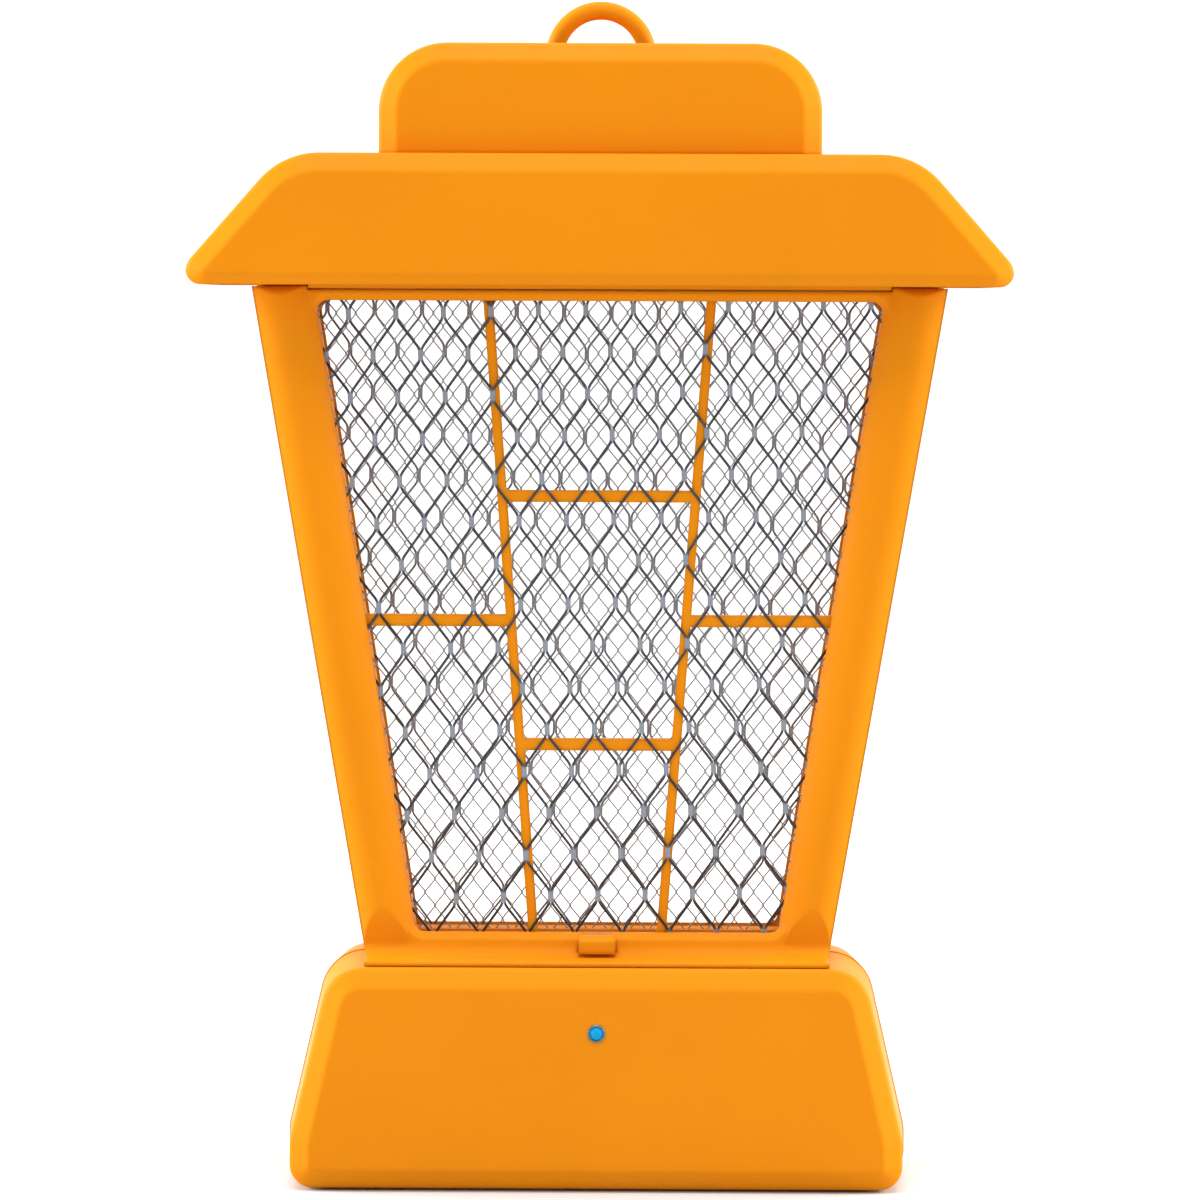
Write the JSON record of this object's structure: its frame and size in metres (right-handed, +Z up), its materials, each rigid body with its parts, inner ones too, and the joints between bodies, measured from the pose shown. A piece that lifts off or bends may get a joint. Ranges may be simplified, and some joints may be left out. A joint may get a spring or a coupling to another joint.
{
  "type": "electric bug zapper",
  "caption": "Lantern-shaped battery bug zapper: hooded roof with hanging loop, tapered mesh window with cross bars, hinged guard, wide base with a blue indicator.",
  "frame": {"origin": "on the ground, under the middle of the base", "axes": "+Z up, the front with the indicator faces -Y, +X to the viewer's right"},
  "size_m": [0.1758, 0.0536, 0.2541],
  "materials": {
    "orange_gloss": "moulded ABS, satin to glossy",
    "orange_inner": "moulded ABS, satin",
    "grid_metal": "expanded sheet, dull grey",
    "live_metal": "fine expanded sheet, light grey",
    "black_plastic": "black plastic",
    "screw_steel": "zinc-plated steel",
    "spring_steel": "nickel-plated steel",
    "board_green": "glass-filled board with green mask",
    "cell_jacket": "cell can with printed sleeve, light for its size",
    "ferrite": "ferrite core",
    "copper_wire": "enamelled copper winding",
    "film_brown": "dipped film capacitor",
    "resistor_body": "lacquered resistor",
    "blue_lens": "translucent blue epoxy",
    "lamp_epoxy": "clear epoxy with a violet tint",
    "clear_strip": "clear acrylic",
    "rubber_black": "soft rubber",
    "lead_red": "red insulated wire",
    "lead_black": "black insulated wire"
  },
  "bodies": {
    "housing": {"base_front_shell": "orange_gloss", "base_rear_shell": "orange_gloss", "rubber_feet": "rubber_black", "housing_screws": "screw_steel", "indicator_led": "blue_lens", "circuit_board": "board_green", "board_screws": "screw_steel", "transformer_core": "ferrite", "transformer_winding": "copper_wire", "high_voltage_capacitor": "film_brown", "filter_capacitor": "black_plastic", "transistor": "black_plastic", "rectifier_diodes": "black_plastic", "resistors": "resistor_body", "switch_body": "black_plastic", "battery_tray": "black_plastic", "lower_cell": "cell_jacket", "upper_cell": "cell_jacket", "battery_springs": "spring_steel", "battery_contacts": "spring_steel", "battery_leads": "lead_red", "rear_frame": "orange_gloss", "frame_screws": "screw_steel", "grid_carrier": "orange_inner", "live_grid": "live_metal", "live_contact": "spring_steel", "live_lead": "lead_red", "grid_spacer": "orange_inner", "rear_grid": "grid_metal", "soffit_plate": "orange_gloss", "soffit_screws": "screw_steel", "roof_screws": "screw_steel", "roof_hood": "orange_gloss", "lamp_board": "board_green", "ultraviolet_lamps": "lamp_epoxy", "lamp_window": "clear_strip", "lamp_lead": "lead_black", "top_cap": "orange_gloss", "cap_screws": "screw_steel", "loop_retainer": "orange_inner"},
    "guard": {"front_frame": "orange_gloss", "front_grid": "grid_metal", "muntin_grille": "orange_gloss", "hinge_pins": "screw_steel"},
    "latch": {"latch_tab": "orange_gloss"},
    "loop": {"hanging_loop": "orange_gloss"},
    "cover": {"battery_cover": "orange_gloss", "cover_pin": "screw_steel"},
    "switch": {"switch_knob": "black_plastic"}
  },
  "joints": [
    {"name": "guard_hinge", "type": "hinge", "parent": "housing", "child": "guard", "pos_m": [0, -0.011, 0.1898], "axis": [-1, 0, 0], "range_deg": [0, 60]},
    {"name": "latch_slide", "type": "slide", "parent": "guard", "child": "latch", "axis": [0, 0, 1], "range_m": [0, 0.002]},
    {"name": "loop_tilt", "type": "hinge", "parent": "housing", "child": "loop", "pos_m": [0, 0, 0.2345], "axis": [1, 0, 0], "range_deg": [-30, 30]},
    {"name": "cover_hinge", "type": "hinge", "parent": "housing", "child": "cover", "pos_m": [0, 0.0246, 0.0099], "axis": [-1, 0, 0], "range_deg": [0, 80]},
    {"name": "switch_slide", "type": "slide", "parent": "housing", "child": "switch", "axis": [1, 0, 0], "range_m": [0, 0.004]}
  ]
}
